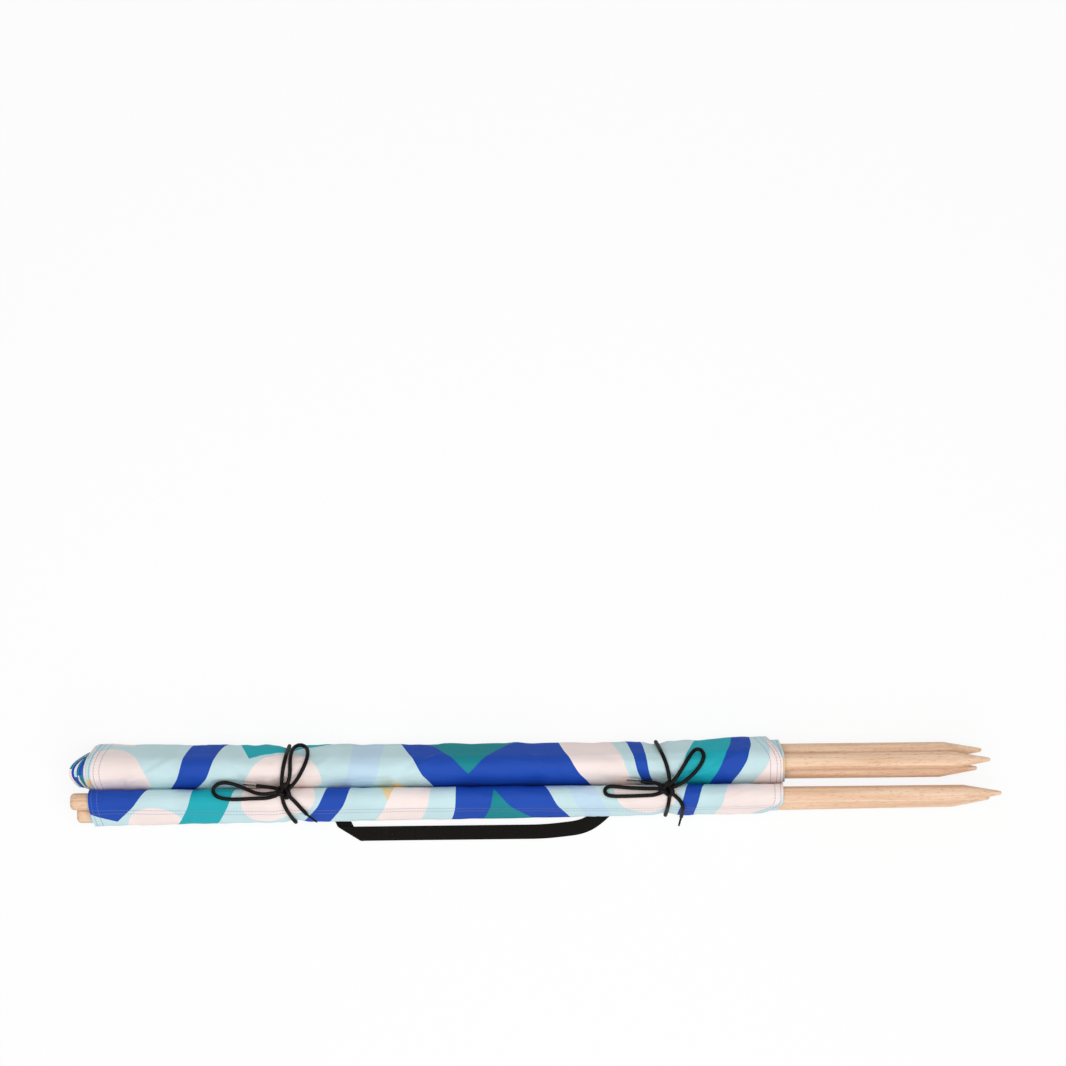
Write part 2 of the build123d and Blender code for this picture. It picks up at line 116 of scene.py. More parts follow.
def put_mesh(name, place, faces, material, uv=None):
    """A mesh from places in millimetres and faces of four corners, and with a UV map if it has one."""
    mesh = bpy.data.meshes.new(name)
    mesh.vertices.add(len(place))
    mesh.vertices.foreach_set("co", (np.asarray(place, float) * MM).ravel())
    mesh.loops.add(faces.size)
    mesh.loops.foreach_set("vertex_index", faces.ravel())
    mesh.polygons.add(len(faces))
    mesh.polygons.foreach_set("loop_start", np.arange(len(faces)) * faces.shape[1])
    mesh.update(calc_edges=True)
    mesh.polygons.foreach_set("use_smooth", np.ones(len(faces), bool))
    if uv is not None:
        layer = mesh.uv_layers.new(name="along_and_round")
        layer.data.foreach_set("uv", (uv[faces.ravel()] * MM).ravel())
    mesh.materials.append(material)
    mesh.validate()
    piece = bpy.data.objects.new(name, mesh)
    scene.collection.objects.link(piece)
    return piece


def grid_faces(rows, columns, closed):
    """The quads of a grid of rows by columns; closed joins the last column to the first."""
    down = np.arange(rows - 1)[:, None] * columns
    side = np.arange(columns if closed else columns - 1)[None, :]
    after = (side + 1) % columns
    corners = [down + side, down + after, down + columns + after, down + columns + side]
    return np.stack(np.broadcast_arrays(*corners), -1).reshape(-1, 4)


def put_surface(name, x, y, z, material, u, v, closed=False):
    """A surface whose places, and whose own UV map in millimetres, are arrays over its two parameters."""
    place = np.stack([x, y, z], -1).reshape(-1, 3)
    uv = np.stack(np.broadcast_arrays(u, v), -1).reshape(-1, 2)
    return put_mesh(name, place, grid_faces(*x.shape, closed), material, uv)


def smoothstep(low, high, value):
    """0 up to low, 1 from high, and three t squared less two t cubed between."""
    t = np.clip((value - low) / (high - low), 0, 1)
    return t * t * (3 - 2 * t)


# Materials

def linear(code):
    """An sRGB hex colour as linear red, green, blue and alpha."""
    parts = [int(code[k:k + 2], 16) / 255 for k in (1, 3, 5)]
    return tuple(c / 12.92 if c <= 0.04045 else ((c + 0.055) / 1.055) ** 2.4 for c in parts) + (1.0,)


def add_node(material, kind, inputs=None, out=0, **settings):
    """Adds a node with its settings, gives each named input a value or a link, and returns an output.

    Sockets go by name, or by number where a node has several of one name."""
    tree = material.node_tree
    node = tree.nodes.new(kind)
    for key, value in settings.items():
        setattr(node, key, value)
    for key, value in (inputs or {}).items():
        if isinstance(value, bpy.types.NodeSocket):
            tree.links.new(value, node.inputs[key])
        else:
            node.inputs[key].default_value = value
    return node.outputs[out]


# The colour inputs of a Mix node, and the settings by which it mixes colours and returns its colour output
MIX_A, MIX_B = 6, 7
OF_COLOURS = {"out": 2, "data_type": "RGBA"}


def new_material(name, **sockets):
    """A material and its Principled shader, whose own sockets hold the constant values."""
    material = bpy.data.materials.new(name)
    material.use_nodes = True
    shader = material.node_tree.nodes["Principled BSDF"]
    for key, value in sockets.items():
        shader.inputs[key.replace("_", " ")].default_value = value
    return material, shader


def finish_shader(material, shader, colour, height, strength, distance):
    """Links a material's colour, if it has one, and its relief to its shader."""
    links = material.node_tree.links
    if colour is not None:
        links.new(colour, shader.inputs["Base Color"])
    bump = {"Height": height, "Strength": strength, "Distance": distance}
    relief = add_node(material, "ShaderNodeBump", bump)
    links.new(relief, shader.inputs["Normal"])
    return material


# The printing inks
INK = {
    "royal": "#1749B0",
    "teal": "#0E8790",
    "turquoise": "#17ACB8",
    "sky": "#C0DAEC",
    "aqua": "#C7E2E6",
    "blush": "#F6E6E2",
    "sand": "#EFD09A",
}
# Printed shapes on the cloth, each with its ink, its radius and its places, in metres along the height of the
# cloth and along its length. A shape with a radius is a disc about its one place, and any other has those
# places as its corners, counter-clockwise.
PRINT = [
    # the strip that comes to lie on top of the upper roll
    ("blush", 0.050, [(0.022, 0.062)]),
    ("royal", 0, [(0.088, 0.015), (0.124, 0.015), (0.196, 0.140), (0.150, 0.140)]),
    ("blush", 0.046, [(0.258, 0.056)]),
    ("turquoise", 0, [(0.196, 0.140), (0.214, 0.094), (0.330, 0.140)]),
    ("sky", 0, [(0.318, 0.015), (0.352, 0.015), (0.392, 0.140), (0.350, 0.140)]),
    ("sand", 0, [(0.372, 0.015), (0.432, 0.015), (0.398, 0.060)]),
    ("royal", 0, [(0.460, 0.015), (0.652, 0.015), (0.612, 0.140), (0.406, 0.140)]),
    ("teal", 0, [(0.436, 0.140), (0.500, 0.072), (0.590, 0.140)]),
    ("blush", 0, [(0.652, 0.015), (0.722, 0.015), (0.672, 0.140), (0.612, 0.140)]),
    ("royal", 0, [(0.734, 0.015), (0.750, 0.015), (0.712, 0.140), (0.692, 0.140)]),
    ("turquoise", 0, [(0.765, 0.015), (0.808, 0.015), (0.862, 0.140), (0.800, 0.140)]),
    ("royal", 0, [(0.808, 0.015), (0.838, 0.015), (0.886, 0.140), (0.862, 0.140)]),
    ("blush", 0, [(0.868, 0.015), (0.970, 0.015), (0.970, 0.132), (0.900, 0.132)]),
    # the strip on top of the lower roll
    ("blush", 0.040, [(0.078, 0.272)]),
    ("royal", 0, [(-0.050, 0.330), (0.026, 0.284), (0.120, 0.390), (-0.050, 0.390)]),
    ("turquoise", 0, [(0.092, 0.245), (0.150, 0.245), (0.216, 0.390), (0.158, 0.390)]),
    ("blush", 0.044, [(0.246, 0.322)]),
    ("royal", 0, [(0.276, 0.245), (0.300, 0.245), (0.350, 0.390), (0.318, 0.390)]),
    ("blush", 0, [(0.345, 0.245), (0.418, 0.245), (0.462, 0.390), (0.410, 0.390)]),
    ("sand", 0, [(0.362, 0.390), (0.384, 0.330), (0.420, 0.390)]),
    ("royal", 0, [(0.462, 0.245), (0.632, 0.245), (0.580, 0.390), (0.494, 0.390)]),
    ("teal", 0, [(0.500, 0.245), (0.612, 0.245), (0.536, 0.336)]),
    ("sky", 0, [(0.648, 0.245), (0.684, 0.245), (0.640, 0.390), (0.610, 0.390)]),
    ("blush", 0.046, [(0.728, 0.330)]),
    ("royal", 0, [(0.764, 0.245), (0.784, 0.245), (0.824, 0.390), (0.800, 0.390)]),
    ("blush", 0, [(0.822, 0.245), (0.888, 0.245), (0.912, 0.390), (0.852, 0.390)]),
    ("teal", 0, [(0.882, 0.235), (0.970, 0.235), (0.970, 0.296)]),
    # shapes that cross the hems, seen on the plies inside
    ("blush", 0, [(-0.050, 0.120), (0.050, 0.120), (0.040, 0.152), (-0.050, 0.152)]),
    ("teal", 0, [(-0.050, 0.152), (0.050, 0.146), (0.040, 0.178), (-0.050, 0.182)]),
    ("royal", 0, [(-0.050, 0.182), (0.050, 0.172), (0.040, 0.216), (-0.050, 0.220)]),
    ("sand", 0, [(-0.050, 0.228), (0.060, 0.232), (-0.050, 0.262)]),
    ("blush", 0, [(-0.050, 0.398), (0.050, 0.402), (-0.050, 0.440)]),
    ("sand", 0, [(0.970, 0.134), (0.970, 0.225), (0.880, 0.176)]),
]
# The length of cloth after which the print starts again
REPEAT = 0.5

# Rows of lock stitch: where they lie across the cloth's height, in metres from its left edge, how long the
# stitches are and how far apart, and half the width of the thread, drawn wide so that it shows from above
HEM_ROWS = (0.0040, 0.0115, 0.8950, 0.9025)
STITCH = 0.003
STITCH_SPACING = 0.004
HALF_THREAD = 0.0004


def printed_cloth(name, start, hem_rows=HEM_ROWS, seam_rows=()):
    """Printed cotton, smooth and fine: flat bright areas with a soft, faintly satin face.

    The cloth's first edge lies at start in the print. Rows of lock stitch run round the roll along
    the hems at hem_rows, and along the poles at the pocket seams at seam_rows."""
    material, shader = new_material(name, Roughness=0.6, Specular_IOR_Level=0.25, IOR=1.46)
    uv = add_node(material, "ShaderNodeUVMap", uv_map="along_and_round")

    # The printed outlines wander by up to a centimetre, so that none is dead straight
    bend = add_node(material, "ShaderNodeTexNoise", {"Vector": uv, "Scale": 6.5, "Detail": 0.0}, out="Color")
    centred = add_node(material, "ShaderNodeVectorMath", {0: bend, 1: (0.5, 0.5, 0.5)}, operation="SUBTRACT")
    drift = add_node(material, "ShaderNodeVectorMath", {0: centred, "Scale": 0.05}, operation="SCALE")
    place = add_node(material, "ShaderNodeVectorMath", {0: uv, 1: drift}, operation="ADD")
    u_way, v_way = add_node(material, "ShaderNodeSeparateXYZ", {0: place}).node.outputs[:2]
    v_way = add_node(material, "ShaderNodeMath", {0: v_way, 1: start}, operation="ADD")
    repeat = add_node(material, "ShaderNodeMath", {0: v_way, 1: REPEAT, 2: 0.0}, operation="WRAP")
    spot = add_node(material, "ShaderNodeCombineXYZ", {0: u_way, 1: repeat})

    # Each shape is laid over those before it: a disc by the distance from its middle, and a polygon as the
    # places that lie inside of all its sides
    colour = linear(INK["aqua"])
    for ink, radius, corners in PRINT:
        if radius:
            ends = {0: spot, 1: (*corners[0], 0)}
            away = add_node(material, "ShaderNodeVectorMath", ends, out="Value", operation="DISTANCE")
            inside = add_node(material, "ShaderNodeMath", {0: away, 1: radius}, operation="LESS_THAN")
        else:
            inside = 1.0
            for (u, v), (after_u, after_v) in zip(corners, corners[1:] + corners[:1]):
                outward = (after_v - v, u - after_u, 0)
                side = u * outward[0] + v * outward[1]
                pair = {0: spot, 1: outward}
                reach = add_node(material, "ShaderNodeVectorMath", pair, out="Value", operation="DOT_PRODUCT")
                held = add_node(material, "ShaderNodeMath", {0: reach, 1: side}, operation="LESS_THAN")
                inside = add_node(material, "ShaderNodeMath", {0: inside, 1: held}, operation="MULTIPLY")
        layers = {0: inside, MIX_A: colour, MIX_B: linear(INK[ink])}
        colour = add_node(material, "ShaderNodeMix", layers, **OF_COLOURS)

    # Uneven take-up of the ink over hands' breadths: a slight cloudiness, from 0.92 to 1.08 of the colour
    cloud = add_node(material, "ShaderNodeTexNoise", {"Vector": uv, "Scale": 22.0, "Detail": 2.0})
    shade = add_node(material, "ShaderNodeMath", {0: cloud, 1: 0.16, 2: 0.92}, operation="MULTIPLY_ADD")
    colour = add_node(material, "ShaderNodeVectorMath", {0: colour, "Scale": shade}, operation="SCALE")

    # Stitches in blue-grey thread, through which a little of the print shows
    along, round_way = add_node(material, "ShaderNodeSeparateXYZ", {0: uv}).node.outputs[:2]
    rows = [(along, row, round_way) for row in hem_rows] + [(round_way, row, along) for row in seam_rows]
    stitched = 0.0
    for across, row, way in rows:
        repeat = add_node(material, "ShaderNodeMath", {0: way, 1: STITCH_SPACING, 2: 0.0}, operation="WRAP")
        dash = add_node(material, "ShaderNodeMath", {0: repeat, 1: STITCH}, operation="LESS_THAN")
        line = add_node(material, "ShaderNodeMath", {0: across, 1: row, 2: HALF_THREAD}, operation="COMPARE")
        line = add_node(material, "ShaderNodeMath", {0: line, 1: dash}, operation="MULTIPLY")
        stitched = add_node(material, "ShaderNodeMath", {0: stitched, 1: line}, operation="MAXIMUM")
    thread = add_node(material, "ShaderNodeMath", {0: stitched, 1: 0.75}, operation="MULTIPLY")
    layers = {0: thread, MIX_A: colour, MIX_B: linear("#6E77AE")}
    colour = add_node(material, "ShaderNodeMix", layers, **OF_COLOURS)

    # Plain weave: real threads at about 0.3 mm, drawn at 0.9 mm so that they show up close
    threads = {"Vector": uv, "Scale": 350.0}
    warp = add_node(material, "ShaderNodeTexWave", threads, out="Fac", bands_direction="X")
    weft = add_node(material, "ShaderNodeTexWave", threads, out="Fac", bands_direction="Y")
    weave = add_node(material, "ShaderNodeMath", {0: warp, 1: weft}, operation="MULTIPLY")
    # Fine creases from being rolled up damp, a few centimetres long
    stretched = add_node(material, "ShaderNodeMapping", {"Vector": uv, "Scale": (9.0, 60.0, 1.0)})
    creases = add_node(material, "ShaderNodeTexNoise", {"Vector": stretched, "Scale": 1.0, "Detail": 3.0})
    relief = add_node(material, "ShaderNodeMath", {0: weave, 1: 0.06, 2: creases}, operation="MULTIPLY_ADD")
    relief = add_node(material, "ShaderNodeMath", {0: stitched, 1: 0.5, 2: relief}, operation="MULTIPLY_ADD")
    return finish_shader(material, shader, colour, relief, strength=0.5, distance=0.003)


def beech(name):
    """Beech dowel, turned and sanded: pale pinkish tan with long fine grain and short dark flecks."""
    material, shader = new_material(name, Roughness=0.55, IOR=1.5)
    place = add_node(material, "ShaderNodeTexCoord", out="Object")
    fine = add_node(material, "ShaderNodeMapping", {"Vector": place, "Scale": (6.0, 210.0, 210.0)})
    lines = {"Vector": fine, "Scale": 1.0, "Detail": 5.0, "Roughness": 0.6}
    grain = add_node(material, "ShaderNodeTexNoise", lines)
    broad = add_node(material, "ShaderNodeMapping", {"Vector": place, "Scale": (1.6, 60.0, 60.0)})
    figure = add_node(material, "ShaderNodeTexNoise", {"Vector": broad, "Scale": 1.0, "Detail": 2.0})
    short = add_node(material, "ShaderNodeMapping", {"Vector": place, "Scale": (120.0, 900.0, 900.0)})
    flecks = add_node(material, "ShaderNodeTexNoise", {"Vector": short, "Scale": 1.0, "Detail": 1.0})

    # Light and dark grain, a warmer figure over it, and the flecks
    light = add_node(material, "ShaderNodeMapRange", {"Value": grain, "From Min": 0.34, "From Max": 0.62})
    warm = add_node(material, "ShaderNodeMath", {0: figure, 1: 0.45}, operation="MULTIPLY")
    spread = {"Value": flecks, "From Min": 0.60, "From Max": 0.68, "To Max": 0.45}
    dark = add_node(material, "ShaderNodeMapRange", spread)
    colour = linear("#DBAE8C")
    for share, tone in ((light, "#F6D6B8"), (warm, "#EFC6A4"), (dark, "#AE8060")):
        layers = {0: share, MIX_A: colour, MIX_B: linear(tone)}
        colour = add_node(material, "ShaderNodeMix", layers, **OF_COLOURS)
    return finish_shader(material, shader, colour, grain, strength=0.2, distance=0.0004)


def braided_polyester(name):
    """Black braided polyester cord: matt black, with a little light on the crowns of its strands."""
    material, shader = new_material(name, Roughness=0.48, Specular_IOR_Level=0.16, IOR=1.5)
    uv = add_node(material, "ShaderNodeUVMap", uv_map="along_and_round")
    fibres = add_node(material, "ShaderNodeMapping", {"Vector": uv, "Scale": (500.0, 900.0, 1.0)})
    fuzz = add_node(material, "ShaderNodeTexNoise", {"Vector": fibres, "Scale": 1.0, "Detail": 2.0})
    layers = {0: fuzz, MIX_A: linear("#050303"), MIX_B: linear("#120E0C")}
    colour = add_node(material, "ShaderNodeMix", layers, **OF_COLOURS)
    return finish_shader(material, shader, colour, fuzz, strength=0.3, distance=0.0004)


def polypropylene_webbing(name):
    """Black woven polypropylene webbing: ribs across the strap, drawn every 3.2 mm, and a dull shine."""
    material, shader = new_material(name, Roughness=0.7, Specular_IOR_Level=0.15, IOR=1.49)
    uv = add_node(material, "ShaderNodeUVMap", uv_map="along_and_round")
    across = {"Vector": uv, "Scale": 98.0, "Distortion": 0.4}
    ribs = add_node(material, "ShaderNodeTexWave", across, out="Fac", bands_direction="X")
    along = {"Vector": uv, "Scale": 160.0}
    picks = add_node(material, "ShaderNodeTexWave", along, out="Fac", bands_direction="Y")
    weave = add_node(material, "ShaderNodeMath", {0: ribs, 1: picks}, operation="MULTIPLY")
    layers = {0: weave, MIX_A: linear("#070503"), MIX_B: linear("#17120E")}
    colour = add_node(material, "ShaderNodeMix", layers, **OF_COLOURS)
    return finish_shader(material, shader, colour, weave, strength=0.6, distance=0.0006)


def clear_acetate(name):
    """Clear acetate sleeve on a cord's end: glossy and a little smoky, over the cord's drawn-in end."""
    smoke = linear("#CDBFB2")
    material, shader = new_material(name, Roughness=0.06, IOR=1.46, Transmission_Weight=1.0, Base_Color=smoke)
    place = add_node(material, "ShaderNodeTexCoord", out="Object")
    ripple = add_node(material, "ShaderNodeTexNoise", {"Vector": place, "Scale": 600.0})
    return finish_shader(material, shader, None, ripple, strength=0.05, distance=0.0002)


# Cloth

def pole_line(node):
    """The two ends of a pole's axis: the middles of its butt and of its tip."""
    place = np.array([v.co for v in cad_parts[node].data.vertices]) / MM
    x = place[:, 0]
    return place[x < x.min() + 1].mean(0), place[x > x.max() - 1].mean(0)


POLE_LINES = {name: pole_line(name) for name in ("pole_1", "pole_2", "pole_3", "pole_4", "pole_5")}
# The rolls, as the poles that the cloth goes round, in the order in which it comes to them
UPPER = ("pole_3", "pole_2", "pole_1")
LOWER = ("pole_5", "pole_4")


def centres(names, x):
    """Where the poles' axes are across and up at x: straight lines from butt to tip."""
    ends = np.array([POLE_LINES[name] for name in names]).reshape(len(names), 2, 3, *[1] * x.ndim)
    share = (x - ends[:, 0, 0]) / (ends[:, 1, 0] - ends[:, 0, 0])
    across, up = (ends[:, 0, k] + (ends[:, 1, k] - ends[:, 0, k]) * share for k in (1, 2))
    return across, up


def round_the_poles(names, turns, x, radius):
    """Cloth wound clockwise about poles, seen from their points, starting under the first pole.

    The walk takes arcs and straight runs by turns. On an arc the centre stays on a pole and only the
    outward angle changes, and on a straight run the angle stays and the centre goes to the next pole.
    Returns the centre across and up and the outward angle, over turns by x."""
    across, up = centres(names, x)
    count = len(names)
    outward = [
        np.arctan2(up[(k + 1) % count] - up[k], across[(k + 1) % count] - across[k]) + math.pi / 2
        for k in range(count)
    ]
    angles = [np.full(x.shape, -math.pi / 2)]
    for angle in outward:
        angles += [angles[-1] - np.mod(angles[-1] - angle, 2 * math.pi)] * 2
    angles.append(np.full(x.shape, -2.5 * math.pi))
    poles = np.array([k // 2 % count for k in range(2 * count + 2)])

    # How long each arc and each straight run is, and which of them each row has come to
    steps = [radius * np.mean(a - b) for a, b in zip(angles, angles[1:])]
    for k in range(count):
        after = (k + 1) % count
        steps[2 * k + 1] = np.mean(np.hypot(across[after] - across[k], up[after] - up[k]))
    knots = np.append(0, np.cumsum(steps)) / np.sum(steps)
    share = np.mod(turns, 1)
    k = np.clip(np.searchsorted(knots, share, side="right") - 1, 0, len(knots) - 2)
    part = ((share - knots[k]) / (knots[k + 1] - knots[k]))[:, None]
    rows = np.arange(len(turns))

    def between(values, first, second):
        return values[first, rows] * (1 - part) + values[second, rows] * part

    angle = between(np.array(angles), k, k + 1) - 2 * math.pi * np.floor(turns)[:, None]
    return between(across, poles[k], poles[k + 1]), between(up, poles[k], poles[k + 1]), angle


# The ties: where each lies along the poles in the valley, and how far it leans away from there at the outer
# edges of the upper and of the lower roll, which lie at these distances from the valley
TIES = {"left": (277.8 - MIDDLE, 9.0, 13.0), "right": (785.4 - MIDDLE, -16.0, -5.0)}
UPPER_EDGE, LOWER_EDGE = 55.0, 38.0
# The radius of the cords, and that of a tie's middle line about each pole: less where the cord is pressed in
CORD = 2.6
TIE_RADII = {"pole_1": 15.4, "pole_2": 18.9, "pole_3": 15.4, "pole_4": 16.0, "pole_5": 14.9}


def tie_x(tie, across):
    """A tie's place along the poles: it leans by the square of the way from the valley."""
    middle, upper_lean, lower_lean = TIES[tie]
    out = across - VALLEY
    upper, lower = upper_lean * (out / UPPER_EDGE) ** 2, lower_lean * (out / LOWER_EDGE) ** 2
    return middle + np.where(out > 0, upper, lower)


def tie_circles(tie):
    """Where all five poles' axes are across and up at a tie, and the tie's radius about each."""
    across, up = centres(list(POLE_LINES), np.array([TIES[tie][0]]))
    return across[:, 0], up[:, 0], np.array([TIE_RADII[name] for name in POLE_LINES])


def room_to_tie(tie, across, up, angle):
    """How far out cloth may come under a tie: the way from its centre to the tie's inner line.

    That line is the tightest band round circles about all five poles, so its distance from the
    centre along a direction is the least, over all directions, of support over cosine."""
    y, z, size = tie_circles(tie)
    way = np.linspace(0, 2 * math.pi, 240, endpoint=False)
    support = (np.cos(way) * y[:, None] + np.sin(way) * z[:, None] + (size - CORD)[:, None]).max(0)
    gap = support - np.cos(way) * across[..., None] - np.sin(way) * up[..., None]
    facing, least = np.cos(way - angle[..., None]), 0.02
    return np.where(facing > least, gap / np.maximum(facing, least), np.inf).min(-1)


# The radius of a pole in its pocket: the cloth outside it is squeezed and swells
CORE = 11.9
# About how many millimetres of cloth go round a roll for each degree
EACH_DEGREE = 0.45
# Soft folds in the cloth: the roll, the place along the poles, the turn in degrees from the far side,
# the slant in millimetres along for each degree round, half the width, half the length, and the depth
FOLDS = [
    (UPPER, 452, 85, 0.45, 9, 75, 0.55),
    (UPPER, 105, 95, 0.50, 8, 45, 0.45),
    (UPPER, 208, 70, -0.35, 7, 40, 0.40),
    (UPPER, 330, 60, 0.30, 7, 30, 0.34),
    (UPPER, 618, 80, -0.50, 9, 50, 0.30),
    (UPPER, 720, 65, -0.40, 7, 36, 0.38),
    (UPPER, 852, 85, 0.50, 8, 50, 0.44),
    (LOWER, 120, 160, 1.60, 6, 40, 0.44),
    (LOWER, 232, 110, 0.60, 7, 34, 0.42),
    (LOWER, 560, 120, -0.60, 8, 40, 0.28),
    (LOWER, 742, 130, 1.20, 6, 42, 0.46),
    (LOWER, 845, 115, 0.80, 7, 38, 0.44),
    (LOWER, 903, 125, 0.90, 6, 36, 0.46),
]


def soft_folds(names, lay, angle):
    """The share that the folds add: each rises and dips across its line and fades out along it."""
    share = 0 * angle
    for roll, place, turn, slant, half_width, half_length, depth in FOLDS:
        if roll is not names:
            continue
        off_turn = np.degrees(np.mod(angle - math.radians(turn) + math.pi, 2 * math.pi) - math.pi)
        across = (lay - place + slant * off_turn) / half_width
        along = off_turn * EACH_DEGREE / half_length
        share = share + depth * across * np.exp(-(across**2) - along**2)
    return share


# How a tie presses the cloth: half the width of the flat strip, over how far it comes up again beside that,
# the least share of the thickness that is left, and how strongly it puckers
FLAT_HALF, COMES_UP, LEAST_LEFT, PUCKER = 3.2, 9.0, 0.03, 0.17


def wind(names, turns, x, inner, outer, whole, hem):
    """Places across and up of cloth wound from an outer radius in to an inner one.

    Everything beyond the core radius is squeezed under the ties, swells along the roll, has soft
    folds and a step at its hems, and puckers near the ties and the edges, all in proportion, so
    that the plies keep their order."""
    middle = (inner + outer) / 2
    across, up, angle = round_the_poles(names, turns, x, middle)
    radius = outer - (outer - inner) * (turns / turns.max())[:, None] + 0 * x
    flat_y = across + radius * np.cos(angle)
    lay = x + MIDDLE

    # Long and short swells, and fine ones that are weakest on top; then the folds and the doubled hem
    swell = 0.07 * np.sin(lay / 41 + 2 * np.sin(angle)) + 0.08 * np.sin(lay / 12 + 3 * np.cos(angle) + 1)
    swell = swell + 0.05 * np.sin(lay / 5.1 + 2 * np.sin(lay / 37) + 2 * angle) * (1 - 0.8 * np.sin(angle))
    swell = swell + soft_folds(names, lay, angle) + 0.07 * hem
    if names is UPPER:
        # The far side is fuller at both ends than between them, and has a wide dip at the left tie
        full = -0.36 + 0.8 * ((lay - 640) / 630) ** 2 + 0.7 * smoothstep(800, 885, lay)
        full = full - 0.32 * np.exp(-(((lay - 293) / 38) ** 2))
        swell = swell + np.maximum(np.cos(angle), 0) * full

    share = 1 + swell
    for tie in TIES:
        here = np.full((len(turns), 1), TIES[tie][0])
        room = room_to_tie(tie, *round_the_poles(names, turns, here, middle))
        squeeze = np.clip((room - CORE) / (whole - CORE), LEAST_LEFT, 1)
        away = np.abs(x - tie_x(tie, flat_y))
        near = np.exp(-((np.maximum(away - FLAT_HALF, 0) / COMES_UP) ** 2))
        puckers = np.sin(9 * angle + 2) * np.exp(-away / 34)
        puckers = puckers + 0.6 * np.sin(lay / 4.4 + 2 * angle) * np.exp(-away / 90)
        share = (share + PUCKER * puckers * (1 - near)) * (1 - near) + np.minimum(share, squeeze) * near
    radius = CORE + (radius - CORE) * share
    return across + radius * np.cos(angle), up + radius * np.sin(angle)


def along_grid(left, right, spacing):
    """Places along the poles: close together at the hems and under the ties, wider elsewhere."""
    hem, clear = 16.0, 22.0
    parts = [np.arange(left, left + hem, 2.0)]
    here = left + hem
    for middle, *leans in TIES.values():
        low, high = sorted((middle, middle + sum(leans) * 0.7))
        parts += [np.arange(here, low - clear, spacing), np.arange(low - clear, high + clear, 1.6)]
        here = high + clear
    parts += [np.arange(here, right - hem, spacing), np.linspace(right - hem + 1, right, 9)]
    return np.concatenate(parts)


# How many turns of a bay show from outside, and the rows of faces for each turn that shows and that doesn't
SHOWN, SHOWN_ROWS, HIDDEN_ROWS = 2.2, 60, 30
# From where to where, away from the left edge and from the right one, the edges' shapes fade out; and over
# what way from an edge the doubled hem ends
LEFT_FADE, RIGHT_FADE, HEM_STEP = (30, 140), (120, 10), (11.5, 13.0)


def wound_cloth(name, names, material, inner, outer, whole, count, left, right, spacing, lead=None):
    """One bay of cloth, wound count times round a roll from its outer radius in to its inner one.

    The parameters are the turn and the place along the poles. The left edge lies at places that
    change from turn to turn and the right edge at one place, all from the longest pole's butt. Both
    bow back by the square of the way across from their foremost line, the left one less on the near
    side: left and right each give the place or the pairs of turn and place, where the foremost line
    is, and how strongly the edge bows back. The ties squeeze the cloth by whole, the roll's own
    radius. lead puts the start of the cloth before the turns."""
    shown = np.linspace(0, SHOWN, round(SHOWN * SHOWN_ROWS) + 1)
    turns = np.append(shown, np.linspace(SHOWN, count, round((count - SHOWN) * HIDDEN_ROWS) + 1)[1:])
    left_steps, left_front, left_bow = left
    step_turns, step_places = np.array(left_steps).T
    step_places = step_places - MIDDLE
    right_place, right_front, right_bow = right
    right_place = right_place - MIDDLE
    base = along_grid(step_places.min(), right_place, spacing)

    # Where each turn lies across by the left edge, and from it how far both edges bow back
    here = np.full((len(turns), 1), base[0] + LEFT_FADE[0])
    across, _, angle = round_the_poles(names, turns, here, (inner + outer) / 2)
    radius = outer - (outer - inner) * (turns / count)
    lies = (across + radius[:, None] * np.cos(angle))[:, 0]
    edge = np.interp(turns, step_turns, step_places)
    edge = edge + left_bow * (lies - left_front) ** 2 * np.where(lies < left_front, 0.7, 1)
    back = right_bow * np.maximum((lies - right_front) * np.sign(right_front), 0) ** 2
    fade = 1 - smoothstep(base[0] + LEFT_FADE[0], base[0] + LEFT_FADE[1], base)
    far = smoothstep(right_place - RIGHT_FADE[0], right_place - RIGHT_FADE[1], base)
    x = base[None, :] + (edge - base[0])[:, None] * fade[None, :]
    x = x - back[:, None] * far[None, :]

    u = np.broadcast_to((base - base[0]) * CLOTH_HEIGHT / (right_place - base[0]), x.shape)
    hem = 1 - smoothstep(*HEM_STEP, np.minimum(u, CLOTH_HEIGHT - u))
    y, z = wind(names, turns, x, inner, outer, whole, hem)
    half_way = len(base) // 2
    step = np.hypot(np.diff(y[:, half_way]), np.diff(z[:, half_way]))
    # The print wavers by 2 mm along the roll, as on cloth that was rolled up by hand
    v = np.append(0, np.cumsum(step))[:, None] + 2.2 * np.sin(base / 75)[None, :]
    if lead is not None:
        x, y, z, u, v = lead(x, y, z, u, v)
    return put_surface(name, x, y, np.maximum(z, ABOVE_GROUND), material, u, v)


# The least height of the cloth, and where it starts across when it crosses from under the lower roll
ABOVE_GROUND = 0.25
CROSSING_START = -23.0


def crossing(x, y, z, u, v):
    """The start of the outer bay: cloth that crosses the ground from the lower roll, a little rumpled.

    It goes straight across to the first turn, lies higher under the lower roll, and ripples by a sine
    that dies out on the way."""
    share = np.linspace(0, 1, 30)[:-1, None]
    way = CROSSING_START + (y[0] - CROSSING_START) * share
    lift = 0.3 + 1.5 * (1 - smoothstep(-12, 14, way)) + 0.35 * np.sin(way / 2.3 + x[0] / 60) * (1 - share)
    first = np.diff(way[:, :1], axis=0, append=y[0, 0])
    return (
        np.vstack([np.broadcast_to(x[0], way.shape), x]),
        np.vstack([way, y]),
        np.vstack([lift, z]),
        np.vstack([np.broadcast_to(u[0], way.shape), u]),
        np.vstack([np.cumsum(first, 0) - first.sum() + v[0], v]),
    )


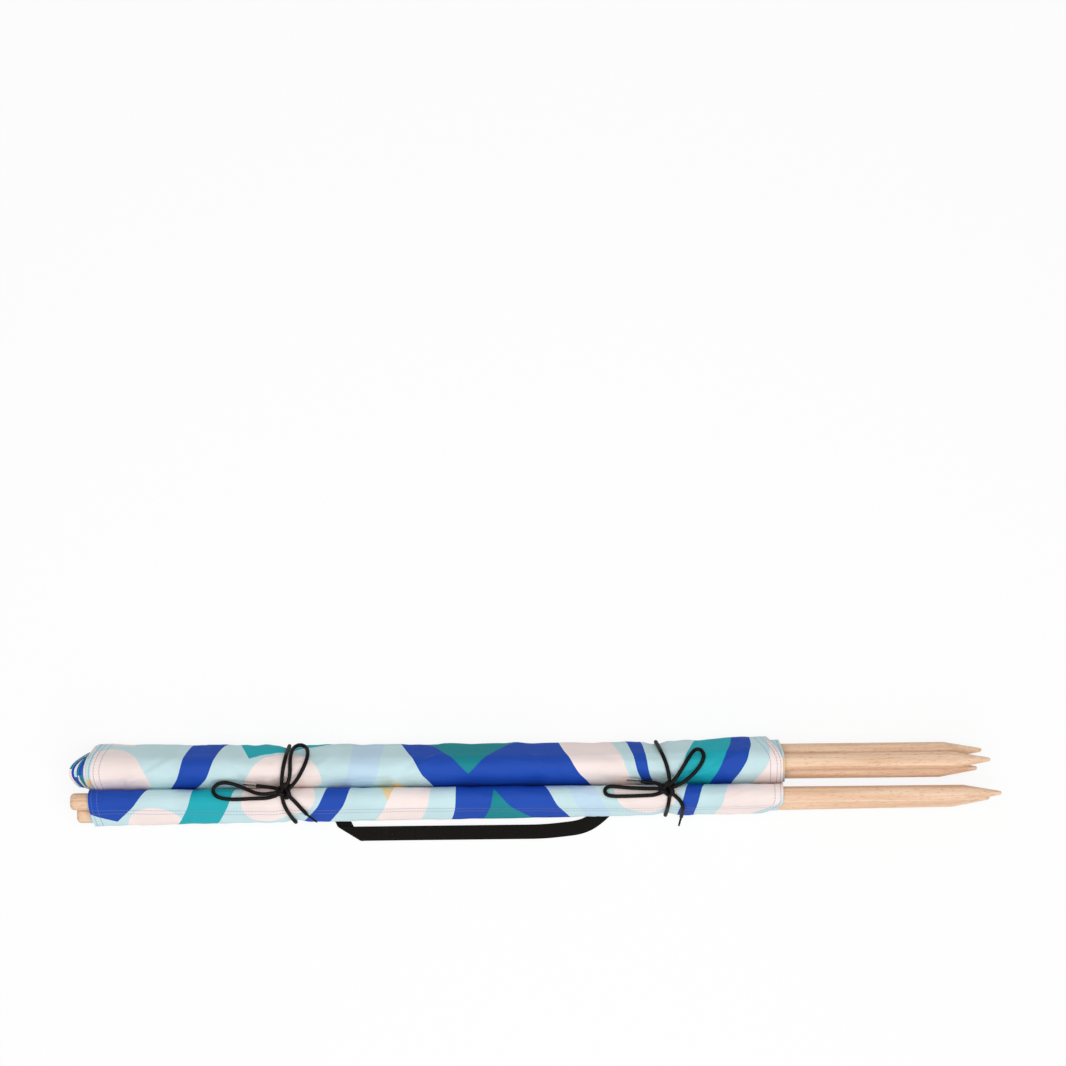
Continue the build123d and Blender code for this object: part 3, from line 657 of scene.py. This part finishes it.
# A pocket's radius inside and how much its lap adds for each turn, how far round it goes, and how far the
# pockets of the lower roll stay back behind the bowed edge of the outer ply
POCKET, LAP, POCKET_TURN = 11.4, 0.25, 2.16 * math.pi
STAYS_BACK = {"pole_4": 2.4, "pole_5": 5.0}


def sleeve(node, pole, material):
    """The sewn pocket of cloth round one pole: a turn and a lap, 0.3 mm off the wood.

    The parameters are the place along the pole and the turn. The radius grows with the turn and
    ripples by a sine of both."""
    low, high = (corner.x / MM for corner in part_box(node))
    low += STAYS_BACK.get(pole, 0)
    x, turn = np.meshgrid(np.linspace(low, high, 60), np.linspace(0, POCKET_TURN, 53), indexing="ij")
    across, up = (c[0] for c in centres((pole,), x))
    radius = POCKET + LAP * turn / math.pi / 2 + 0.08 * np.sin(3 * turn + x / 30)
    y, z = across + radius * np.cos(turn), up + radius * np.sin(turn)
    return put_surface(node.replace("pole_", "cloth_"), x, y, z, material, x - low, radius * turn)


# Cords

def smooth_route(points):
    """The line of a route: a NURBS spline of order three with those points as its control points."""
    curve = bpy.data.curves.new("route", "CURVE")
    curve.dimensions = "3D"
    spline = curve.splines.new("NURBS")
    spline.points.add(len(points) - 1)
    spline.points.foreach_set("co", np.column_stack([points, np.ones(len(points))]).ravel())
    spline.order_u = 3
    spline.use_endpoint_u = True
    spline.resolution_u = 24
    line = bpy.data.objects.new("route", curve)
    scene.collection.objects.link(line)
    mesh = bpy.data.meshes.new_from_object(line)
    place = np.array([v.co for v in mesh.vertices]) / MM
    bpy.data.objects.remove(line)
    return place


def even_line(place, spacing):
    """The same line with its points evenly spaced along it."""
    way = np.append(0, np.cumsum(np.linalg.norm(np.diff(place, axis=0), axis=1)))
    even = np.linspace(0, way[-1], max(8, round(way[-1] / spacing)))
    return np.column_stack([np.interp(even, way, place[:, k]) for k in range(3)]), even


# The braid: crowns round the cord, and how fast they pass along it in radians for each millimetre; over what
# length a cord's end is rounded; and how far apart a tube's rings are and how many points each has
CROWNS, PASSING, END_ROUNDING = 6, 1.25, 1.2
RING_SPACING, RING_POINTS = 0.55, 24


def cord_tube(name, line, material, radius=CORD, reference=(0, 0, 1), braid=0.13, taper=1.0):
    """A braided cord along a line: a round profile whose radius dips between crossing strands.

    At a way s along and a turn t round, the dip follows the larger of two cosines that run round the
    cord in opposite senses, as the two sets of strands of a braid do. The ends are rounded, and the
    radius goes over to taper times its start."""
    line, way = even_line(np.asarray(line), RING_SPACING)
    ahead = np.gradient(line, axis=0)
    ahead /= np.linalg.norm(ahead, axis=1)[:, None]
    side = np.cross(ahead, np.asarray(reference, float))
    side /= np.linalg.norm(side, axis=1)[:, None]
    over = np.cross(side, ahead)
    turn = np.linspace(0, 2 * math.pi, RING_POINTS + 1)[:-1]
    s, t = np.meshgrid(way, turn, indexing="ij")
    strands = np.maximum(np.cos(CROWNS * t + s * PASSING), np.cos(CROWNS * t - s * PASSING))
    end = np.clip(np.minimum(s, way[-1] - s) / END_ROUNDING, 0, 1)
    rounding = np.sqrt(np.clip(1 - (1 - end) ** 2, 0.0004, 1))
    size = (radius - braid + braid * strands) * rounding * (1 + (taper - 1) * s / way[-1])
    outward = np.cos(t)[..., None] * side[:, None] + np.sin(t)[..., None] * over[:, None]
    place = line[:, None] + size[..., None] * outward
    return put_surface(name, *np.moveaxis(place, -1, 0), material, s, radius * t, closed=True)


def tie_line(tie):
    """The middle line of a tie: the tightest band round circles about the poles, leaning as it goes."""
    y, z, size = tie_circles(tie)
    way = np.linspace(0, 2 * math.pi, 721)
    reach = np.cos(way) * y[:, None] + np.sin(way) * z[:, None] + size[:, None]
    pole = reach.argmax(0)
    across = y[pole] + size[pole] * np.cos(way)
    up = z[pole] + size[pole] * np.sin(way)
    line, _ = even_line(np.column_stack([0 * across, across, up]), 2.0)
    line[:, 0] = tie_x(tie, line[:, 1])
    return line


# The knots: the radius of their cord, how far they are turned, how high they stand and how deep their
# strands pass each other, and how wide each is along and across the poles for a unit of its curve
KNOT_CORD, KNOT_TURN, KNOT_UP, KNOT_DEEP = 3.2, 0.5, 0.8, 3.3
KNOTS = {"left": (2.9, 3.1), "right": (3.2, 2.9)}


def knot_line(centre, along, across):
    """A drawn-tight knot: a trefoil curve, turned about the upright, stretched and flattened.

    Its two ends stop short of each other."""
    t = np.linspace(0, 2 * math.pi, 181)[:-4]
    a, b = np.sin(t) + 2 * np.sin(2 * t), np.cos(t) - 2 * np.cos(2 * t)
    x = (a * math.cos(KNOT_TURN) - b * math.sin(KNOT_TURN)) * along
    y = (a * math.sin(KNOT_TURN) + b * math.cos(KNOT_TURN)) * across
    return np.column_stack([x, y, KNOT_UP - np.sin(3 * t) * KNOT_DEEP]) + np.asarray(centre)


def end_line(points, length, way):
    """A straight line of a length from a route's end, in the direction of way."""
    way = np.array(way)
    return np.array(points[-1]) / MM + way / np.linalg.norm(way) * np.linspace(0, length, 12)[:, None]


# The fittings on the cords' ends. The clear sleeve rises a little off the cloth, with the cord's drawn-in end
# inside; the sealed tips are stiff and stick out flatter than their cords hang
SLEEVE_WAY, SLEEVE_LENGTH, SLEEVE_RADIUS = (-18.4, 2.2, 1.8), 19.0, 2.6
DRAWN_IN_LENGTH, DRAWN_IN_RADIUS = 17.0, 1.3
TIPS = {"left": (18.0, (0.745, -0.585, -0.32)), "right": (16.0, (-0.2, -0.78, -0.6))}
TIP_RADIUS, TIP_TAPER = 1.6, 0.75


# The carry strap: its width, length and thickness, the corner where it is folded, how far before that it
# starts, where it lies across on the ground, and where along the poles it bends back under the roll
STRAP_WIDTH, STRAP_LENGTH, STRAP_THICKNESS = 19.0, 411.0, 1.5
FOLD_CORNER = (-261.0, -45.3)
FOLD_TURN = math.radians(-32)
BEFORE_FOLD = 23.0
LANE = -54.8
BEND = -14.0


def webbing_strap(name, material):
    """A flat strap with a slanted fold: a straight strip, mirrored where it passes the fold line.

    Before the fold it slants out from under the roll. Past it the strip lies on top of itself, then
    on the ground along the roll, and bends back under the roll. The parameters are the way along the
    strap and the way across it."""
    heading = np.array([math.cos(2 * FOLD_TURN), math.sin(2 * FOLD_TURN)])
    side = np.array([-heading[1], heading[0]])
    fold_along = np.array([math.cos(FOLD_TURN), math.sin(FOLD_TURN)])
    corner = np.array(FOLD_CORNER)
    half = STRAP_WIDTH / 2
    start = corner + side * half - heading * BEFORE_FOLD
    way, w = np.meshgrid(np.linspace(0, STRAP_LENGTH, 400), np.linspace(-half, half, 13), indexing="ij")
    inner_side = np.maximum(w, 0) * 0.45 * (1 - smoothstep(0, 24, way))
    flat = start + way[..., None] * heading + (w - inner_side)[..., None] * side
    past = (flat - corner) @ np.array([fold_along[1], -fold_along[0]])
    mirrored = corner + 2 * ((flat - corner) @ fold_along)[..., None] * fold_along - (flat - corner)

    # The bend: a slight turn and then a strong one, added up in short steps
    run = mirrored[..., 0] - BEND
    step = 0.25
    steps = np.arange(801) * step
    turn = math.radians(6) * smoothstep(0, 50, steps) + math.radians(36) * smoothstep(55, 108, steps)
    bent = np.maximum(run, 0)
    bend_x = np.interp(bent, steps, np.append(0, np.cumsum(np.cos(turn[:-1]) * step)))
    bend_y = np.interp(bent, steps, np.append(0, np.cumsum(np.sin(turn[:-1]) * step)))
    aim = np.interp(bent, steps, turn)
    off = mirrored[..., 1] - LANE
    over = past > 0
    x = np.where(over, BEND + np.minimum(run, 0) + bend_x - off * np.sin(aim), flat[..., 0])
    y = np.where(over, LANE + bend_y + off * np.cos(aim), flat[..., 1])

    # Up over its own first layer at the fold, down to the ground, and up a little at the end under the roll
    crease = np.clip(past / 2.5, -1, 1)
    z = 1.0 + 0.95 * (1 + crease) * (1 - smoothstep(60, 130, way))
    z = z + 0.25 * (1 + np.sin(way / 23)) * smoothstep(80, 120, way) + 1.2 * smoothstep(360, 405, way)
    strap = put_surface(name, x, y, z, material, way, w)
    wall = strap.modifiers.new("Thickness", "SOLIDIFY")
    wall.thickness = STRAP_THICKNESS * MM
    wall.offset = 0
    return strap


# Materials of this object's pieces

inner_cloth = printed_cloth("Printed_cotton_inner", 0.33)
middle_cloth = printed_cloth("Printed_cotton_middle", 0.11)
upper_cloth = printed_cloth("Printed_cotton_upper", 0.0, (0.0040, 0.0115, 0.8898, 0.8982, 0.9030))
lower_cloth = printed_cloth("Printed_cotton_lower", 0.25, seam_rows=(0.0475, 0.0540))
wood = beech("Beech_dowel")
cord_black = braided_polyester("Braided_polyester_cord")
webbing = polypropylene_webbing("Polypropylene_webbing")
acetate = clear_acetate("Clear_acetate")

for name in POLE_LINES:
    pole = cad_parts[name]
    pole.data.materials.clear()
    pole.data.materials.append(wood)

# Where each bay's left edge lies: pairs of a turn, from the outermost in, and a place from the longest
# pole's butt
INNER_LEFT = [(0, 6.5), (2.2, 6.5), (2.8, 3.1), (4.4, 3.1), (5.0, -0.4), (6.9, -0.4)]
MIDDLE_LEFT = [(0, 12.8), (3.0, 12.8), (3.6, 10.0), (6.5, 10.0)]
OUTER_LEFT = [(0, 27.8), (1.0, 27.8), (1.3, 21.7), (3.0, 21.7), (3.6, 18.6), (6.1, 18.6)]
LOWER_LEFT = [(0, 24.0), (1.0, 24.0), (1.5, 26.0), (8.0, 27.5)]
# The radii of the whole rolls, and the spacing of places along a bay that shows and along one that doesn't
UPPER_ROLL, LOWER_ROLL = 18.1, 15.2
CLOSE, COARSE = 4.6, 15.0

# The bays of cloth, from the inside of the upper roll out
bay_1 = wound_cloth(
    "cloth_bay_1", UPPER, inner_cloth, inner=12.0, outer=13.5, whole=UPPER_ROLL, count=6.9,
    left=(INNER_LEFT, 31.5, 0.040), right=(909.0, 31.5, 0.010), spacing=COARSE,
)
bay_2 = wound_cloth(
    "cloth_bay_2", UPPER, middle_cloth, inner=13.7, outer=15.1, whole=UPPER_ROLL, count=6.5,
    left=(MIDDLE_LEFT, 31.5, 0.030), right=(936.8, 31.5, 0.008), spacing=COARSE,
)
bay_3 = wound_cloth(
    "cloth_bay_3", UPPER, upper_cloth, inner=15.3, outer=UPPER_ROLL, whole=UPPER_ROLL, count=6.1,
    left=(OUTER_LEFT, 31.5, 0.0145), right=(934.0, 33.0, 0.021), spacing=CLOSE, lead=crossing,
)
bay_4 = wound_cloth(
    "cloth_bay_4", LOWER, lower_cloth, inner=12.3, outer=LOWER_ROLL, whole=LOWER_ROLL, count=8.0,
    left=(LOWER_LEFT, -4.5, 0.0080), right=(934.0, -8.0, 0.028), spacing=CLOSE,
)
for bay, nodes, slot, length in (
    (bay_1, ["bay_1"], "cloth_inner", 1.07),
    (bay_2, ["bay_2"], "cloth_middle", 1.07),
    (bay_3, ["bay_3", "hem_upper_left", "hem_upper_right"], "cloth_upper", 1.10),
    (bay_4, ["bay_4", "hem_lower_left", "hem_lower_right"], "cloth_lower", 1.07),
):
    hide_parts(*nodes)
    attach(bay, "root")

for pole in POLE_LINES:
    node = pole.replace("pole", "pole_sleeve")
    cloth = sleeve(node, pole, upper_cloth if pole in UPPER else lower_cloth)
    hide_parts(node)
    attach(cloth, "root")

# Ties: the tight cord round both rolls, the knot, and the free cords of the bow
for tie in TIES:
    knot_node = tie + "_tie_knot"
    low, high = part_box(knot_node)
    centre = (low + high) / 2 / MM
    wrap = cord_tube(tie + "_tie_wrap_cord", tie_line(tie), cord_black, reference=(1, 0, 0))
    knot = cord_tube(tie + "_tie_knot_cord", knot_line(centre, *KNOTS[tie]), cord_black, radius=KNOT_CORD)
    for piece, node in ((wrap, tie + "_tie_wrap"), (knot, knot_node)):
        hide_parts(node)
        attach(piece, "root")

for node, points in BOWS.items():
    line = smooth_route(points)
    length = np.linalg.norm(np.diff(line, axis=0), axis=1).sum() * MM
    cord = cord_tube(node + "_cord", line, cord_black)
    ends = []
    if node.endswith("tail_a"):
        end_node = node.replace("tail_a", "aglet")
        inside = end_line(points, DRAWN_IN_LENGTH, SLEEVE_WAY)
        outside = end_line(points, SLEEVE_LENGTH, SLEEVE_WAY)
        core = cord_tube(end_node + "_core", inside, cord_black, radius=DRAWN_IN_RADIUS, braid=0.08)
        ends = [core, cord_tube(end_node + "_sleeve", outside, acetate, radius=SLEEVE_RADIUS, braid=0.0)]
        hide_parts(end_node)
    if node.endswith("tail_b"):
        end_node = node.replace("tail_b", "tip")
        outside = end_line(points, *TIPS[node.split("_")[0]])
        stiff = {"radius": TIP_RADIUS, "braid": 0.03, "taper": TIP_TAPER}
        ends = [cord_tube(end_node + "_seal", outside, cord_black, **stiff)]
        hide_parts(end_node)
    for piece in (cord, *ends):
        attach(piece, "root")
    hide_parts(node)

strap = webbing_strap("strap_webbing", webbing)
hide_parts("carry_strap", "strap_end_left", "strap_end_right")
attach(strap, "root")

# Floor, lamps and world. The floor is matt paper just under the lowest piece. To the camera, and in what is
# glossy or clear, most of it is plain white light, and the rest keeps the shadow
floor_material, floor_shader = new_material("Matt_white_paper", Roughness=0.9, Base_Color=linear("#F4F4F4"))
glow = add_node(floor_material, "ShaderNodeEmission")
seen = add_node(floor_material, "ShaderNodeLightPath", out="Is Camera Ray")
for ray in ("Is Glossy Ray", "Is Transmission Ray"):
    other = add_node(floor_material, "ShaderNodeLightPath", out=ray)
    seen = add_node(floor_material, "ShaderNodeMath", {0: seen, 1: other}, operation="MAXIMUM")
share = add_node(floor_material, "ShaderNodeMath", {0: seen, 1: 0.88}, operation="MULTIPLY")
blend = add_node(floor_material, "ShaderNodeMixShader", {0: share, 1: floor_shader.outputs[0], 2: glow})
floor_material.node_tree.links.new(blend, floor_material.node_tree.nodes["Material Output"].inputs["Surface"])
side, down = 3000, -0.4
floor = put_mesh(
    "Floor",
    [(-side, -side, down), (side, -side, down), (side, side, down), (-side, side, down)],
    np.array([[0, 1, 2, 3]]),
    floor_material,
)

for name, place, size, power in (
    ("Overhead_softbox", (0.0, -0.2, 2.6), 2.8, 49),
    ("Front_softbox", (0.3, -2.4, 1.5), 1.8, 16),
):
    lamp = bpy.data.lights.new(name, "AREA")
    lamp.size = size
    lamp.energy = power
    light = bpy.data.objects.new(name, lamp)
    light.location = place
    light.rotation_euler = (Vector((0, 0, 0)) - Vector(place)).to_track_quat("-Z", "Y").to_euler()
    scene.collection.objects.link(light)

world = bpy.data.worlds.new("Studio")
scene.world = world
world.use_nodes = True
world.node_tree.nodes["Background"].inputs[0].default_value = linear("#FFFFFF")
world.node_tree.nodes["Background"].inputs[1].default_value = 0.42
scene.view_settings.view_transform = "Standard"
